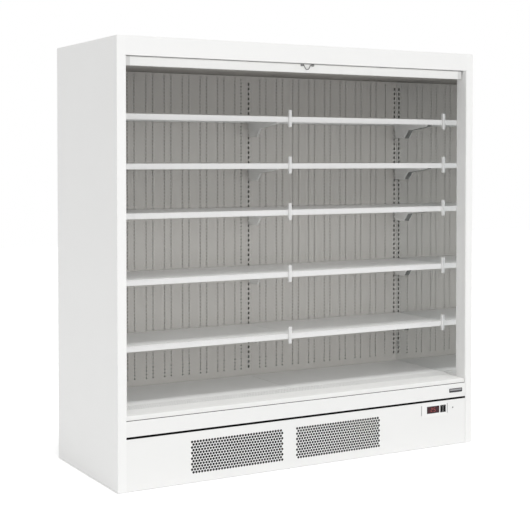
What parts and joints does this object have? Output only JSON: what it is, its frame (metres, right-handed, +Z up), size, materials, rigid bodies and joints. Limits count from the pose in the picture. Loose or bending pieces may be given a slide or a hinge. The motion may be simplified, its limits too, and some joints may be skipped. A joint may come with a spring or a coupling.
{
  "type": "open multideck display refrigerator",
  "caption": "Open-fronted multideck display refrigerator with tilting shelves, mirror end walls, a pull-down night blind and a perforated plinth over the machine bay.",
  "frame": {"origin": "on the floor, at the centre of the footprint", "axes": "+X runs along the width to the right-hand end as a shopper sees it, -Y is the open front, +Z is up"},
  "size_m": [1.955, 0.735, 1.985],
  "materials": {
    "shell_white": "smooth white stove enamel",
    "fascia_white": "smooth bright white enamel",
    "trim_grey": "satin light grey",
    "mirror": "plain silvered lining",
    "canopy_steel": "satin pale grey enamel",
    "outlet_plastic": "grey honeycomb",
    "duct_panel_enamel": "satin white enamel, finely perforated",
    "upright_enamel": "satin white enamel",
    "tub_white": "smooth white enamel",
    "zinc_steel": "zinc-plated steel",
    "foot_zinc": "zinc-plated steel",
    "sill_white": "smooth white enamel",
    "bumper_white": "satin white",
    "skirt_white": "smooth white enamel",
    "bezel_plastic": "satin white",
    "display_lens": "dark red window",
    "switch_plastic": "satin black",
    "badge_metal": "satin dark grey plate, left bare",
    "roller_fabric": "matt coated cloth",
    "blind_fabric": "matt coated cloth",
    "bar_white": "satin white enamel",
    "handle_wire": "bright plated wire",
    "coil_aluminium": "bare fins",
    "fan_plastic": "moulded black",
    "deck_white": "smooth white enamel",
    "shelf_white": "smooth white enamel",
    "compressor_black": "satin black enamel",
    "tray_plastic": "moulded dark grey",
    "copper_pipe": "drawn copper tube",
    "inlet_plastic": "moulded black",
    "strip_plastic": "clear-white extrusion"
  },
  "bodies": {
    "cabinet": {"left_end_panel": "shell_white", "right_end_panel": "shell_white", "rear_wall": "shell_white", "roof_panel": "shell_white", "top_fascia": "fascia_white", "front_edge_trims": "trim_grey", "end_wall_mirrors": "mirror", "canopy_liner": "canopy_steel", "air_outlet_grille": "outlet_plastic", "rear_duct_panels": "duct_panel_enamel", "shelf_uprights": "upright_enamel", "insulated_tub": "tub_white", "base_frame": "zinc_steel", "evaporator_fan_plate": "zinc_steel", "condenser_fan_shroud": "zinc_steel", "levelling_feet": "foot_zinc", "front_ledge": "sill_white", "return_air_grille": "sill_white", "front_bumper": "bumper_white", "lower_front_panel": "skirt_white", "controller_housing": "bezel_plastic", "controller_display": "display_lens", "name_plate": "badge_metal", "blind_sheet": "blind_fabric", "evaporator_coil": "coil_aluminium", "condenser_coil": "coil_aluminium", "compressor": "compressor_black", "evaporation_tray": "tray_plastic", "refrigerant_pipes": "copper_pipe", "mains_inlet": "inlet_plastic"},
    "blind_bar": {"blind_pull_bar": "bar_white"},
    "blind_roller_tube": {"blind_roller": "roller_fabric"},
    "pull_handle": {"blind_handle": "handle_wire"},
    "evaporator_rotor_left": {"evaporator_fan_left": "fan_plastic"},
    "evaporator_rotor_right": {"evaporator_fan_right": "fan_plastic"},
    "condenser_rotor": {"condenser_fan": "fan_plastic"},
    "switch_left": {"rocker_switch_left": "switch_plastic"},
    "switch_right": {"rocker_switch_right": "switch_plastic"},
    "deck_left": {"base_deck_left": "deck_white"},
    "deck_right": {"base_deck_right": "deck_white"},
    "shelf_unit_1_left": {"shelf_1_left": "shelf_white", "ticket_strip_1_left": "strip_plastic"},
    "shelf_unit_1_right": {"shelf_1_right": "shelf_white", "ticket_strip_1_right": "strip_plastic"},
    "shelf_unit_2_left": {"shelf_2_left": "shelf_white", "ticket_strip_2_left": "strip_plastic"},
    "shelf_unit_2_right": {"shelf_2_right": "shelf_white", "ticket_strip_2_right": "strip_plastic"},
    "shelf_unit_3_left": {"shelf_3_left": "shelf_white", "ticket_strip_3_left": "strip_plastic"},
    "shelf_unit_3_right": {"shelf_3_right": "shelf_white", "ticket_strip_3_right": "strip_plastic"},
    "shelf_unit_4_left": {"shelf_4_left": "shelf_white", "ticket_strip_4_left": "strip_plastic"},
    "shelf_unit_4_right": {"shelf_4_right": "shelf_white", "ticket_strip_4_right": "strip_plastic"},
    "shelf_unit_5_left": {"shelf_5_left": "shelf_white", "ticket_strip_5_left": "strip_plastic"},
    "shelf_unit_5_right": {"shelf_5_right": "shelf_white", "ticket_strip_5_right": "strip_plastic"}
  },
  "joints": [
    {"name": "blind_pull", "type": "slide", "parent": "cabinet", "child": "blind_bar", "axis": [0, 0, -1], "range_m": [0, 1.5235], "stiffness_N_per_m": 2, "springref_m": -15, "deforming": ["blind_sheet"]},
    {"name": "blind_roll", "type": "hinge", "parent": "cabinet", "child": "blind_roller_tube", "pos_m": [0, -0.3055, 1.9485], "axis": [1, 0, 0], "range_deg": [0, 3360]},
    {"name": "pull_handle_swing", "type": "hinge", "parent": "blind_bar", "child": "pull_handle", "pos_m": [0, -0.342, 1.8935], "axis": [-1, 0, 0], "range_deg": [0, 90]},
    {"name": "evaporator_fan_left_spin", "type": "hinge", "parent": "cabinet", "child": "evaporator_rotor_left", "pos_m": [-0.47, -0.0335, 0.2895], "axis": [0, 1, 0], "continuous": true},
    {"name": "evaporator_fan_right_spin", "type": "hinge", "parent": "cabinet", "child": "evaporator_rotor_right", "pos_m": [0.47, -0.0335, 0.2895], "axis": [0, 1, 0], "continuous": true},
    {"name": "condenser_fan_spin", "type": "hinge", "parent": "cabinet", "child": "condenser_rotor", "pos_m": [-0.38451, -0.2562, 0.129], "axis": [0, 1, 0], "continuous": true},
    {"name": "rocker_left_tip", "type": "hinge", "parent": "cabinet", "child": "switch_left", "pos_m": [0.7845, -0.356, 0.192], "axis": [-1, 0, 0], "range_deg": [0, 16]},
    {"name": "rocker_right_tip", "type": "hinge", "parent": "cabinet", "child": "switch_right", "pos_m": [0.8025, -0.356, 0.192], "axis": [-1, 0, 0], "range_deg": [0, 16]},
    {"name": "base_deck_left_lift", "type": "slide", "parent": "cabinet", "child": "deck_left", "axis": [0, 0, 1], "range_m": [0, 0.08]},
    {"name": "base_deck_right_lift", "type": "slide", "parent": "cabinet", "child": "deck_right", "axis": [0, 0, 1], "range_m": [0, 0.08]},
    {"name": "shelf_1_left_tilt", "type": "hinge", "parent": "cabinet", "child": "shelf_unit_1_left", "pos_m": [-0.46675, 0.2325, 0.585], "axis": [1, 0, 0], "range_deg": [0, 10]},
    {"name": "shelf_1_right_tilt", "type": "hinge", "parent": "cabinet", "child": "shelf_unit_1_right", "pos_m": [0.46675, 0.2325, 0.585], "axis": [1, 0, 0], "range_deg": [0, 10]},
    {"name": "shelf_2_left_tilt", "type": "hinge", "parent": "cabinet", "child": "shelf_unit_2_left", "pos_m": [-0.46675, 0.2325, 0.885], "axis": [1, 0, 0], "range_deg": [0, 10]},
    {"name": "shelf_2_right_tilt", "type": "hinge", "parent": "cabinet", "child": "shelf_unit_2_right", "pos_m": [0.46675, 0.2325, 0.885], "axis": [1, 0, 0], "range_deg": [0, 10]},
    {"name": "shelf_3_left_tilt", "type": "hinge", "parent": "cabinet", "child": "shelf_unit_3_left", "pos_m": [-0.46675, 0.2325, 1.185], "axis": [1, 0, 0], "range_deg": [0, 10]},
    {"name": "shelf_3_right_tilt", "type": "hinge", "parent": "cabinet", "child": "shelf_unit_3_right", "pos_m": [0.46675, 0.2325, 1.185], "axis": [1, 0, 0], "range_deg": [0, 10]},
    {"name": "shelf_4_left_tilt", "type": "hinge", "parent": "cabinet", "child": "shelf_unit_4_left", "pos_m": [-0.46675, 0.2325, 1.41], "axis": [1, 0, 0], "range_deg": [0, 10]},
    {"name": "shelf_4_right_tilt", "type": "hinge", "parent": "cabinet", "child": "shelf_unit_4_right", "pos_m": [0.46675, 0.2325, 1.41], "axis": [1, 0, 0], "range_deg": [0, 10]},
    {"name": "shelf_5_left_tilt", "type": "hinge", "parent": "cabinet", "child": "shelf_unit_5_left", "pos_m": [-0.46675, 0.2325, 1.635], "axis": [1, 0, 0], "range_deg": [0, 10]},
    {"name": "shelf_5_right_tilt", "type": "hinge", "parent": "cabinet", "child": "shelf_unit_5_right", "pos_m": [0.46675, 0.2325, 1.635], "axis": [1, 0, 0], "range_deg": [0, 10]}
  ],
  "couplings": [
    {"joint": "blind_roll", "follows": "blind_pull", "rad_per_m": 38.462}
  ]
}
